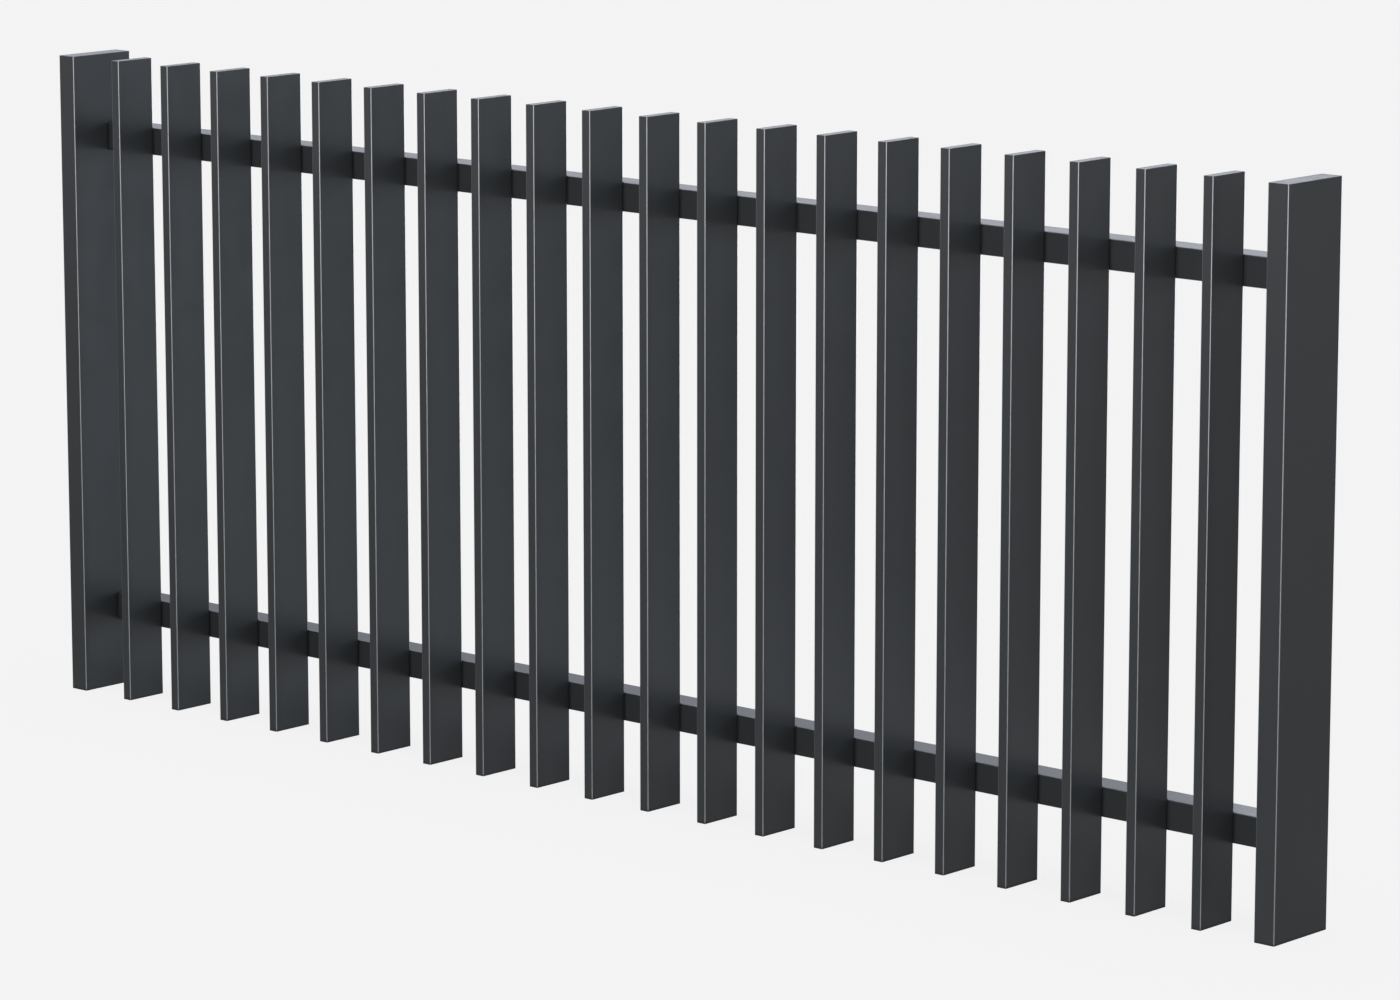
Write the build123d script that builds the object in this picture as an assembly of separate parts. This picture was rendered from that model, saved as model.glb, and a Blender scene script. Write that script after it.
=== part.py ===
from build123d import *
import os

# Vertical blade fence panel: two end posts, a row of upright blades and two rails behind them.
# Millimetres. The origin is the middle of the left post's foot. +X runs along the fence to the
# right post, +Y goes from the blades to the rails behind them, and +Z is up.

# Overall sizes
panel_length = 2327.5  # outer face of the left post to outer face of the right post
panel_height = 1000.0  # feet to tops, the same for posts and blades
blade_count = 20
end_gap = 86.3  # clear gap between a post and the blade beside it

# Hollow sections: width along the fence, depth across it
post_width = 32.5
post_wall = 2.5
blade_width = 16.0
blade_depth = 69.5
blade_wall = 1.6
rail_height = 42.0
rail_depth = 44.0
rail_wall = 2.0
edge_radius = 1.5  # outer long edges of every section

# Places of the rails
rear_reveal = 4.0  # the rails' backs lie this far inside the posts' backs, to hide the screw heads
upper_rail_drop = 108.2  # top of the panel to the top of the upper rail
lower_rail_lift = 105.6  # feet of the panel to the underside of the lower rail

# Hollow plugs that close the upright sections, flush with their cut ends
plug_depth = 15.0
plug_plate = 3.0  # the closed outer end of a plug
plug_wall = 1.5
plug_clearance = 0.15  # all round, between a plug and the inside of its section
plug_chamfer = 0.4  # round the outer face, where the joint shows as a fine line

# Lengths and places that follow from the sizes above
post_depth = blade_depth + rail_depth + rear_reveal
front_y = -post_depth / 2
rail_length = panel_length - 2 * post_width
right_post_x = panel_length - post_width
first_blade_x = post_width / 2 + end_gap + blade_width / 2
last_blade_x = right_post_x - first_blade_x
blade_pitch = (last_blade_x - first_blade_x) / (blade_count - 1)
blade_y = front_y + blade_depth / 2
rail_y = front_y + blade_depth + rail_depth / 2
rail_x = post_width / 2
upper_rail_z = panel_height - upper_rail_drop - rail_height / 2
lower_rail_z = lower_rail_lift + rail_height / 2


def hollow_bar(width, depth, wall, length):
    # Extruded box section with rounded outer edges, standing on its lower end
    outside = RectangleRounded(width, depth, edge_radius)
    inside = Rectangle(width - 2 * wall, depth - 2 * wall)
    return extrude(outside - inside, amount=length)


def plug(width, depth, wall):
    # Cup that fills the end of a section, with its outer face up at z = 0
    plug_width = width - 2 * (wall + plug_clearance)
    plug_length = depth - 2 * (wall + plug_clearance)
    block = extrude(Rectangle(plug_width, plug_length), amount=-plug_depth)
    block = chamfer(block.edges().group_by(Axis.Z)[-1], plug_chamfer)
    hollow = Rectangle(plug_width - 2 * plug_wall, plug_length - 2 * plug_wall)
    return block - Pos(0, 0, -plug_depth) * extrude(hollow, amount=plug_depth - plug_plate)


def upright(x, y, width, depth, wall):
    return Pos(x, y, 0) * hollow_bar(width, depth, wall, panel_height)


def top_cap(x, y, width, depth, wall):
    return Pos(x, y, panel_height) * plug(width, depth, wall)


def foot_cap(x, y, width, depth, wall):
    # The same plug turned over, with its outer face on the ground
    return Pos(x, y, 0) * Rot(180, 0, 0) * plug(width, depth, wall)


def rail(z):
    # A section laid along the fence, its ends against the inner faces of the two posts
    bar = hollow_bar(rail_height, rail_depth, rail_wall, rail_length)
    return Pos(rail_x, rail_y, z) * Rot(0, 90, 0) * bar


pieces = {}

post_section = (post_width, post_depth, post_wall)
for side, x in (("left", 0.0), ("right", right_post_x)):
    pieces[f"{side}_post"] = upright(x, 0.0, *post_section)
    pieces[f"{side}_post_top_cap"] = top_cap(x, 0.0, *post_section)
    pieces[f"{side}_post_foot_cap"] = foot_cap(x, 0.0, *post_section)

blade_section = (blade_width, blade_depth, blade_wall)
blade_places = [first_blade_x + i * blade_pitch for i in range(blade_count)]
for number, x in enumerate(blade_places, start=1):
    pieces[f"blade_{number:02d}"] = upright(x, blade_y, *blade_section)
pieces["blade_top_caps"] = Compound([top_cap(x, blade_y, *blade_section) for x in blade_places])
pieces["blade_foot_caps"] = Compound([foot_cap(x, blade_y, *blade_section) for x in blade_places])

pieces["upper_rail"] = rail(upper_rail_z)
pieces["lower_rail"] = rail(lower_rail_z)

os.makedirs("parts", exist_ok=True)
for name, piece in pieces.items():
    export_step(piece, f"parts/{name}.step")
print(len(pieces), "pieces, blade pitch", round(blade_pitch, 2), "post depth", post_depth)
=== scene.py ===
import math
import bmesh
import bpy
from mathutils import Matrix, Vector


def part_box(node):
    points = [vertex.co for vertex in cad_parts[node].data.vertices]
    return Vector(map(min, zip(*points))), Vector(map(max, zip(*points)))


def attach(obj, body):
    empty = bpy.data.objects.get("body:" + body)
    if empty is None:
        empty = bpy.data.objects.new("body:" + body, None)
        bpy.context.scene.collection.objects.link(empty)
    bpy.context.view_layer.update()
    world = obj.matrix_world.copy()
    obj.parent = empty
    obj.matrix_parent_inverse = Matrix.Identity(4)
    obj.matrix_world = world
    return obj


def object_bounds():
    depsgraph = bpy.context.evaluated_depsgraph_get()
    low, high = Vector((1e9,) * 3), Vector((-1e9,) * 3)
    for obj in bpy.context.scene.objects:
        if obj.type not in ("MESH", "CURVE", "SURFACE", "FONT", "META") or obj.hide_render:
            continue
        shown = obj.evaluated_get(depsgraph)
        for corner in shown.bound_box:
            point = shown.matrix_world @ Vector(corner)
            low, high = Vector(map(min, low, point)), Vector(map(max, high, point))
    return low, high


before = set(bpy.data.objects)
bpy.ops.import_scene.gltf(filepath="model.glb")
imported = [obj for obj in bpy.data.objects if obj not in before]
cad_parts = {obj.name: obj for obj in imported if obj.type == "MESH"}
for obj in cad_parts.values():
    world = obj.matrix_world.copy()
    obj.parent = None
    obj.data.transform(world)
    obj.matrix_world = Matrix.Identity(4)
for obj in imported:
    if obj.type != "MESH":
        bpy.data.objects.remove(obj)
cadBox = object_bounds()
print("frame: %d nodes" % len(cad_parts))

mm = 0.001  # the frame is in metres
middleX = (cadBox[0][0] + cadBox[1][0]) / 2  # halfway along the fence
level = 90  # degrees of tilt at which a lamp or the camera looks level; at 0 it looks straight down

# A mix node's sockets go by number: the share, then two numbers or two colours, and the result
share, numberA, numberB, colourA, colourB = 0, 2, 3, 6, 7
mixedNumber, mixedColour = 0, 2
noiseSpan = {"From Min": 0.3, "From Max": 0.7}  # most of a noise lies between these


def linear(hexColour):
    # sRGB hex to the linear colour that shaders take
    parts = [int(hexColour[i:i + 2], 16) / 255 for i in (1, 3, 5)]
    curve = [c / 12.92 if c <= 0.04045 else ((c + 0.055) / 1.055) ** 2.4 for c in parts]
    return (*curve, 1.0)


def addNode(tree, kind, inputs=None, **settings):
    # one node with its settings; an input is a plain value or the socket that feeds it
    node = tree.nodes.new(kind)
    for name, value in settings.items():
        setattr(node, name, value)
    for name, value in (inputs or {}).items():
        if isinstance(value, bpy.types.NodeSocket):
            tree.links.new(value, node.inputs[name])
        else:
            node.inputs[name].default_value = value
    return node


def newMaterial(name):
    material = bpy.data.materials.new(name)
    material.use_nodes = True
    material.node_tree.nodes.clear()
    return material, material.node_tree


# Powder-coated aluminium: a baked satin paint, so a dark even grey with soft blurred reflections, a
# faint orange peel and paler sheen at glancing angles. On the rounded arrises the coat is thin and
# rubbed, and the metal under it gives a clear glint. In the corners where two bars meet or stand on the
# floor, the coat is darkened with painted shade to a fine dark line, is not rubbed and turns duller.
powderCoat = {
    "shade": "#393D40",
    "paleShade": "#3D4144",
    "cloudMm": 180,  # slow drift of the shade along a bar
    "peelMm": 2.5,  # orange peel is about 1 mm; drawn coarser so that it shows
    "peelHeightMm": 0.008,
    "patchMm": 45,  # drift of the gloss
    "roughLow": 0.28,
    "roughHigh": 0.33,
    "ior": 1.34,
    "rubbedShade": "#A2A5A9",
    "rubbedRoughness": 0.40,
    "rubMm": 60,  # drift of the rubbing along an arris
    "rubLeast": 0.92,  # where the rubbing is least; 1 is down to the metal
    "metalGain": 4.0,  # how soon the metal takes over from the paint on an arris
    "jointMm": 6,  # reach of the shelter at a joint
    "jointClosed": 0.5,  # open share of the view that counts as fully sheltered
    "jointOpen": 0.9,  # and as fully in the open
    # painted shade: the colour the coat goes to in the corner of a joint
    "jointPaintedShade": "#18191A",
    "jointRoughness": 0.6,
}


def addArris(tree, normal):
    # An arris is where the normal leans between two axes: |xy|, |yz| and |zx| are nought on every flat
    # face, and twice their sum is 1 at the middle of a rounded edge
    axes = addNode(tree, "ShaderNodeSeparateXYZ", {"Vector": normal}).outputs
    turned = addNode(tree, "ShaderNodeCombineXYZ", {"X": axes["Y"], "Y": axes["Z"], "Z": axes["X"]})
    lean = addNode(tree, "ShaderNodeVectorMath", {0: normal, 1: turned.outputs["Vector"]},
                   operation="MULTIPLY")
    size = addNode(tree, "ShaderNodeVectorMath", {0: lean.outputs["Vector"]}, operation="ABSOLUTE")
    arris = addNode(tree, "ShaderNodeVectorMath", {0: size.outputs["Vector"], 1: (2.0, 2.0, 2.0)},
                    operation="DOT_PRODUCT")
    return arris.outputs["Value"]


def makePowderCoat(spec=powderCoat):
    material, tree = newMaterial("satin powder coat on aluminium")
    coords = addNode(tree, "ShaderNodeTexCoord")
    place = coords.outputs["Object"]
    cloud = addNode(tree, "ShaderNodeTexNoise", {
        "Vector": place, "Scale": 1 / (spec["cloudMm"] * mm), "Detail": 3.0})
    shade = addNode(tree, "ShaderNodeMix", {
        share: cloud.outputs["Fac"], colourA: linear(spec["shade"]), colourB: linear(spec["paleShade"])},
        data_type="RGBA")
    patch = addNode(tree, "ShaderNodeTexNoise", {
        "Vector": place, "Scale": 1 / (spec["patchMm"] * mm), "Detail": 2.0})
    rough = addNode(tree, "ShaderNodeMapRange", {
        "Value": patch.outputs["Fac"], **noiseSpan,
        "To Min": spec["roughLow"], "To Max": spec["roughHigh"]})
    # The shelter of a joint is 0 in its corner and 1 in the open; it sets the painted shade there
    shelter = addNode(tree, "ShaderNodeAmbientOcclusion", {"Distance": spec["jointMm"] * mm}, samples=4)
    inOpen = addNode(tree, "ShaderNodeMapRange", {
        "Value": shelter.outputs["AO"], "From Min": spec["jointClosed"], "From Max": spec["jointOpen"]})
    openness = inOpen.outputs["Result"]
    # Rubbing drifts along the arrises and stops short of the joints
    drift = addNode(tree, "ShaderNodeTexNoise", {
        "Vector": place, "Scale": 1 / (spec["rubMm"] * mm), "Detail": 2.0})
    least = addNode(tree, "ShaderNodeMapRange", {
        "Value": drift.outputs["Fac"], **noiseSpan, "To Min": spec["rubLeast"], "To Max": 1.0})
    bare = addNode(tree, "ShaderNodeMath", {0: addArris(tree, coords.outputs["Normal"]), 1: openness},
                   operation="MULTIPLY")
    rub = addNode(tree, "ShaderNodeMath", {0: bare.outputs["Value"], 1: least.outputs["Result"]},
                  operation="MULTIPLY", use_clamp=True)
    metal = addNode(tree, "ShaderNodeMath", {0: bare.outputs["Value"], 1: spec["metalGain"]},
                    operation="MULTIPLY", use_clamp=True)
    # painted shade: the coat goes dark towards the corner of a joint
    paint = addNode(tree, "ShaderNodeMix", {
        share: openness, colourA: linear(spec["jointPaintedShade"]), colourB: shade.outputs[mixedColour]},
        data_type="RGBA")
    colour = addNode(tree, "ShaderNodeMix", {
        share: rub.outputs["Value"], colourA: paint.outputs[mixedColour],
        colourB: linear(spec["rubbedShade"])}, data_type="RGBA")
    satin = addNode(tree, "ShaderNodeMix", {
        share: openness, numberA: spec["jointRoughness"], numberB: rough.outputs["Result"]})
    gloss = addNode(tree, "ShaderNodeMix", {
        share: rub.outputs["Value"], numberA: satin.outputs[mixedNumber], numberB: spec["rubbedRoughness"]})
    peel = addNode(tree, "ShaderNodeTexNoise", {
        "Vector": place, "Scale": 1 / (spec["peelMm"] * mm), "Detail": 1.0})
    bump = addNode(tree, "ShaderNodeBump", {
        "Height": peel.outputs["Fac"], "Distance": spec["peelHeightMm"] * mm})
    skin = addNode(tree, "ShaderNodeBsdfPrincipled", {
        "Base Color": colour.outputs[mixedColour], "Metallic": metal.outputs["Value"],
        "Roughness": gloss.outputs[mixedNumber], "Normal": bump.outputs["Normal"], "IOR": spec["ior"]})
    addNode(tree, "ShaderNodeOutputMaterial", {"Surface": skin.outputs["BSDF"]})
    return material


# Moulded nylon: the plugs in the ends of the uprights, in the same grey but a little duller, with a
# fine spark-eroded grain.
nylonPlug = {
    "shade": "#393C3F",
    "paleShade": "#3D4144",
    "cloudMm": 25,  # flow of the melt across a plug
    "grainMm": 1.2,  # real grain is about 0.3 mm; drawn coarser so that it shows
    "grainHeightMm": 0.004,
    "roughLow": 0.29,
    "roughHigh": 0.34,
    "ior": 1.34,
}

# Paint on the steel screws: thicker and softer than on the bars, with a drift of gloss from head to head.
screwPaint = {
    "shade": "#393D40",
    "paleShade": "#45494C",
    "cloudMm": 30,
    "grainMm": 0.8,
    "grainHeightMm": 0.01,
    "roughLow": 0.30,
    "roughHigh": 0.45,
    "ior": 1.45,
}


def makeGrainedSkin(name, spec):
    # paler where it is glossier
    material, tree = newMaterial(name)
    place = addNode(tree, "ShaderNodeTexCoord").outputs["Object"]
    cloud = addNode(tree, "ShaderNodeTexNoise", {
        "Vector": place, "Scale": 1 / (spec["cloudMm"] * mm), "Detail": 2.0})
    shade = addNode(tree, "ShaderNodeMix", {
        share: cloud.outputs["Fac"], colourA: linear(spec["shade"]), colourB: linear(spec["paleShade"])},
        data_type="RGBA")
    rough = addNode(tree, "ShaderNodeMapRange", {
        "Value": cloud.outputs["Fac"], **noiseSpan,
        "To Min": spec["roughHigh"], "To Max": spec["roughLow"]})
    grain = addNode(tree, "ShaderNodeTexNoise", {
        "Vector": place, "Scale": 1 / (spec["grainMm"] * mm), "Detail": 3.0})
    bump = addNode(tree, "ShaderNodeBump", {
        "Height": grain.outputs["Fac"], "Distance": spec["grainHeightMm"] * mm})
    skin = addNode(tree, "ShaderNodeBsdfPrincipled", {
        "Base Color": shade.outputs[mixedColour], "Roughness": rough.outputs["Result"],
        "Normal": bump.outputs["Normal"], "IOR": spec["ior"]})
    addNode(tree, "ShaderNodeOutputMaterial", {"Surface": skin.outputs["BSDF"]})
    return material


# Stainless steel, punched: the walls of a socket, where the key has chipped the paint and scored the metal.
socketSteel = {
    "shade": "#5E6063",
    "darkShade": "#242628",
    "chipMm": 1.5,
    "scoreHeightMm": 0.02,
    "roughness": 0.42,
}


def makeSocketSteel(spec=socketSteel):
    material, tree = newMaterial("punched stainless steel")
    place = addNode(tree, "ShaderNodeTexCoord").outputs["Object"]
    chip = addNode(tree, "ShaderNodeTexNoise", {
        "Vector": place, "Scale": 1 / (spec["chipMm"] * mm), "Detail": 2.0})
    shade = addNode(tree, "ShaderNodeMix", {
        share: chip.outputs["Fac"], colourA: linear(spec["darkShade"]), colourB: linear(spec["shade"])},
        data_type="RGBA")
    bump = addNode(tree, "ShaderNodeBump", {
        "Height": chip.outputs["Fac"], "Distance": spec["scoreHeightMm"] * mm})
    skin = addNode(tree, "ShaderNodeBsdfPrincipled", {
        "Base Color": shade.outputs[mixedColour], "Metallic": 1.0, "Roughness": spec["roughness"],
        "Normal": bump.outputs["Normal"]})
    addNode(tree, "ShaderNodeOutputMaterial", {"Surface": skin.outputs["BSDF"]})
    return material


coat = makePowderCoat()
plugSkin = makeGrainedSkin("moulded nylon plug", nylonPlug)
headSkin = makeGrainedSkin("painted steel screw", screwPaint)
socketSkin = makeSocketSteel()
for name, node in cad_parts.items():
    node.data.materials[0] = plugSkin if "cap" in name else coat
print("finishes: coat on the bars, nylon on the plugs")


# Button-head screws that hold the blades from behind, painted like the bars. They stand in the reveal
# behind the rails, inside the depth of the posts.
screwHead = {
    "widthMm": 9.5,
    "heightMm": 2.75,
    "rimMm": 0.5,  # straight part of the side
    "crownMm": 4.6,  # flat top round the socket
    "socketMm": 3.0,  # hexagon, across the flats
    "socketDepthMm": 1.6,
    "steps": 24,  # round the head, a multiple of the socket's six sides
    "domeSteps": 6,
    "crease": 35,  # degrees; a sharper edge than this stays crisp
    "endInsetMm": 22.0,  # from the end of a rail to the screw of its connector
    "turn": 2.4,  # radians from one socket to the next, so that neighbours stand differently
}
headFinish, socketFinish = 0, 1  # places of the two finishes on a mesh of screws


def screwRings(spec):
    # radius, height and whether the ring is a hexagon, from the seat over the dome to the foot of the
    # socket
    crown, edge, flat = spec["crownMm"] / 2, spec["widthMm"] / 2, spec["socketMm"] / 2
    rings = [(edge, 0.0, False)]
    for step in range(spec["domeSteps"] + 1):
        lean = math.pi / 2 * step / spec["domeSteps"]
        rise = (spec["heightMm"] - spec["rimMm"]) * math.sin(lean)
        rings.append((crown + (edge - crown) * math.cos(lean), spec["rimMm"] + rise, False))
    rings.append((flat, spec["heightMm"], True))
    rings.append((flat, spec["heightMm"] - spec["socketDepthMm"], True))
    return rings


def addScrew(mesh, place, turn, spec):
    # one head on the plane of the rail's back, its axis along +Y
    sixth = math.pi / 3
    steps = spec["steps"]
    angles = [2 * math.pi * i / steps for i in range(steps)]
    last, wasHexagon = None, False
    for radius, height, isHexagon in screwRings(spec):
        ring = []
        for angle in angles:
            reach = radius / math.cos((angle + sixth / 2) % sixth - sixth / 2) if isHexagon else radius
            across = Vector((reach * math.cos(angle + turn), height, reach * math.sin(angle + turn)))
            ring.append(mesh.verts.new(place + across * mm))
        if last:
            for i in range(steps):
                j = (i + 1) % steps
                side = mesh.faces.new((last[i], ring[i], ring[j], last[j]))
                side.material_index = socketFinish if isHexagon and wasHexagon else headFinish
        last, wasHexagon = ring, isHexagon
    mesh.faces.new(last).material_index = socketFinish


def makeScrews(rail, spec=screwHead):
    low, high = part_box(rail)
    bladeBoxes = [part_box(name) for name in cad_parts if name.rpartition("_")[0] == "blade"]
    spots = [(left[0] + right[0]) / 2 for left, right in bladeBoxes]
    spots += [low[0] + spec["endInsetMm"] * mm, high[0] - spec["endInsetMm"] * mm]
    heads = bmesh.new()
    for number, x in enumerate(spots):
        place = Vector((x, high[1], (low[2] + high[2]) / 2))
        addScrew(heads, place, number * spec["turn"], spec)
    bmesh.ops.recalc_face_normals(heads, faces=heads.faces)
    mesh = bpy.data.meshes.new(rail + "_screws")
    heads.to_mesh(mesh)
    heads.free()
    mesh.polygons.foreach_set("use_smooth", [True] * len(mesh.polygons))
    mesh.set_sharp_from_angle(angle=math.radians(spec["crease"]))
    mesh.materials.append(headSkin)
    mesh.materials.append(socketSkin)
    piece = bpy.data.objects.new(rail + "_screws", mesh)
    bpy.context.scene.collection.objects.link(piece)
    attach(piece, "root")
    return len(spots)


screwCount = sum(makeScrews(rail) for rail in ("upper_rail", "lower_rail"))
print("screws: %d heads on the rails' backs" % screwCount)


# Plain pale floor and surroundings. The camera sees an even pale grey, and reflections see it dimmer.
stage = {
    "skyPale": "#F3F3F3",
    "skyCool": "#E6E8F8",  # the sky in reflections
    "skyReflected": 0.60,  # strength of the sky and the floor in reflections
    "floorReflected": 0.42,
    "fill": 0.02,  # and as light on the object
    "floorReach": 40.0,  # metres from its middle to an edge
    "floorPale": "#FCFCFC",
    "floorShade": "#F0F0F0",
    "floorMatt": 0.12,  # share of the floor that takes light and shadow; the rest is even and pale
}


def addSeen(tree, reflected, fill):
    # strength of the pale ground for a ray: full from the camera, dimmer by reflection or through glass,
    # else faint
    path = addNode(tree, "ShaderNodeLightPath").outputs
    bent = addNode(tree, "ShaderNodeMath", {0: path["Is Glossy Ray"], 1: path["Is Transmission Ray"]},
                   operation="MAXIMUM")
    dim = addNode(tree, "ShaderNodeMapRange", {
        "Value": bent.outputs["Value"], "To Min": fill, "To Max": reflected})
    seen = addNode(tree, "ShaderNodeMath", {0: dim.outputs["Result"], 1: path["Is Camera Ray"]},
                   operation="MAXIMUM")
    return seen.outputs["Value"], path["Is Camera Ray"]


def makeSky(spec=stage):
    world = bpy.data.worlds.new("pale studio")
    bpy.context.scene.world = world
    world.use_nodes = True
    tree = world.node_tree
    tree.nodes.clear()
    seen, isCamera = addSeen(tree, spec["skyReflected"], spec["fill"])
    shade = addNode(tree, "ShaderNodeMix", {
        share: isCamera, colourA: linear(spec["skyCool"]), colourB: linear(spec["skyPale"])},
        data_type="RGBA")
    glow = addNode(tree, "ShaderNodeBackground", {"Color": shade.outputs[mixedColour], "Strength": seen})
    addNode(tree, "ShaderNodeOutputWorld", {"Surface": glow.outputs["Background"]})


def makeFloor(spec=stage):
    material, tree = newMaterial("matt studio floor")
    seen, isCamera = addSeen(tree, spec["floorReflected"], spec["fill"])
    mattShare = addNode(tree, "ShaderNodeMath", {0: isCamera, 1: spec["floorMatt"]}, operation="MULTIPLY")
    even = addNode(tree, "ShaderNodeEmission", {"Color": linear(spec["floorPale"]), "Strength": seen})
    matt = addNode(tree, "ShaderNodeBsdfDiffuse", {"Color": linear(spec["floorShade"])})
    skin = addNode(tree, "ShaderNodeMixShader", {
        share: mattShare.outputs["Value"], 1: even.outputs["Emission"], 2: matt.outputs["BSDF"]})
    addNode(tree, "ShaderNodeOutputMaterial", {"Surface": skin.outputs["Shader"]})
    mesh = bpy.data.meshes.new("floor")
    sheet = bmesh.new()
    bmesh.ops.create_grid(sheet, x_segments=1, y_segments=1, size=spec["floorReach"])
    sheet.to_mesh(mesh)
    sheet.free()
    mesh.materials.append(material)
    floor = bpy.data.objects.new("floor", mesh)
    bpy.context.scene.collection.objects.link(floor)
    floor.location = (middleX, 0.0, 0.0)
    return floor


# A large silk overhead, so far off that it lights the floor evenly and casts the soft shadow
silk = {
    "shade": "#FFFFFF",
    "strength": 1.2,
    "spread": 45,  # degrees across, as seen from the fence
}

# Soft boxes round the fence, in degrees, metres and watts. Azimuth is counted as for the camera: 0 is in
# front of the fence and 90 is past its right post. Each box stands upright and faces the middle of the
# fence, and is flagged off the floor, so that no pool of light lies at its foot. The bounce card lies on
# the floor behind the fence and faces up.
softBoxes = {
    "camera side": {"azimuth": 42, "away": 5, "middle": 1.1,
                    "wide": 6, "tall": 1.6, "power": 67, "shade": "#FFFAF8"},
    "camera side high": {"azimuth": 42, "away": 5, "middle": 3.2,
                         "wide": 8, "tall": 3, "power": 135, "shade": "#FFFAF8"},
    "front": {"azimuth": 20, "away": 5, "middle": 1.1,
              "wide": 4, "tall": 1.6, "power": 22, "shade": "#FFFAF8"},
    "front high": {"azimuth": 8, "away": 5, "middle": 3.2,
                   "wide": 7, "tall": 3, "power": 84, "shade": "#FFFAF8"},
    "left front": {"azimuth": -36, "away": 5, "middle": 0.9,
                   "wide": 3.5, "tall": 1, "power": 14, "shade": "#FFFFFF"},
    "right back": {"azimuth": 132, "away": 12, "middle": 3,
                   "wide": 7, "tall": 2.4, "power": 110, "shade": "#EEF5FF"},
    "back": {"azimuth": 180, "away": 5, "middle": 0.9,
             "wide": 4, "tall": 1.8, "power": 130, "shade": "#EEF5FF"},
    "low back": {"azimuth": 180, "away": 2.2, "middle": 0.3,
                 "wide": 1, "tall": 0.6, "power": 10, "shade": "#EEF5FF"},
    "left back": {"azimuth": 227, "away": 5, "middle": 2.5,
                  "wide": 4.5, "tall": 1, "power": 38, "shade": "#F4F7FF"},
    "left": {"azimuth": 270, "away": 5, "middle": 1.5,
             "wide": 4, "tall": 2, "power": 34, "shade": "#F4F7FF"},
    "bounce card": {"azimuth": 184, "away": 1.35, "middle": 0.01, "tilt": 180,
                    "wide": 2.6, "tall": 2.4, "power": 8, "shade": "#EEF5FF"},
}


def addLamp(name, kind, shade):
    lamp = bpy.data.lights.new(name, kind)
    lamp.color = linear(shade)[:3]
    holder = bpy.data.objects.new(name, lamp)
    bpy.context.scene.collection.objects.link(holder)
    return lamp, holder


def makeLamps(floor):
    lamp = addLamp("silk", "SUN", silk["shade"])[0]
    lamp.energy = silk["strength"]
    lamp.angle = math.radians(silk["spread"])
    flagged = bpy.data.collections.new("flagged off the floor")
    flagged.objects.link(floor)
    flagged.collection_objects[0].light_linking.link_state = "EXCLUDE"
    for name, box in softBoxes.items():
        lamp, holder = addLamp(name, "AREA", box["shade"])
        lamp.shape = "RECTANGLE"
        lamp.size = box["wide"]
        lamp.size_y = box["tall"]
        lamp.energy = box["power"]
        turn = math.radians(box["azimuth"])
        across, back = box["away"] * math.sin(turn), -box["away"] * math.cos(turn)
        holder.location = (middleX + across, back, box["middle"])
        holder.rotation_euler = (math.radians(box.get("tilt", level)), 0.0, turn)
        holder.visible_camera = False
        holder.light_linking.receiver_collection = flagged


makeSky()
makeLamps(makeFloor())
print("stage: floor, surroundings, silk and %d soft boxes" % len(softBoxes))


# The camera stands to the right in front of the fence and looks slightly down on it
camera = {
    "place": (6.40911, -5.77786, 1.90644),
    "turn": 41.722,  # degrees to the left of straight at the fence
    "tilt": 10.638,  # degrees down
    "lens": 142.654,  # mm, for the frame's width
    "frameWidth": 36.0,  # mm
    "farthest": 200.0,  # metres
}


def makeCamera(spec=camera):
    data = bpy.data.cameras.new("camera")
    data.sensor_fit = "HORIZONTAL"
    data.sensor_width = spec["frameWidth"]
    data.lens = spec["lens"]
    data.clip_end = spec["farthest"]
    holder = bpy.data.objects.new("camera", data)
    bpy.context.scene.collection.objects.link(holder)
    holder.location = spec["place"]
    holder.rotation_euler = (math.radians(level - spec["tilt"]), 0.0, math.radians(spec["turn"]))
    bpy.context.scene.camera = holder


makeCamera()
bpy.context.scene.view_settings.view_transform = "Standard"
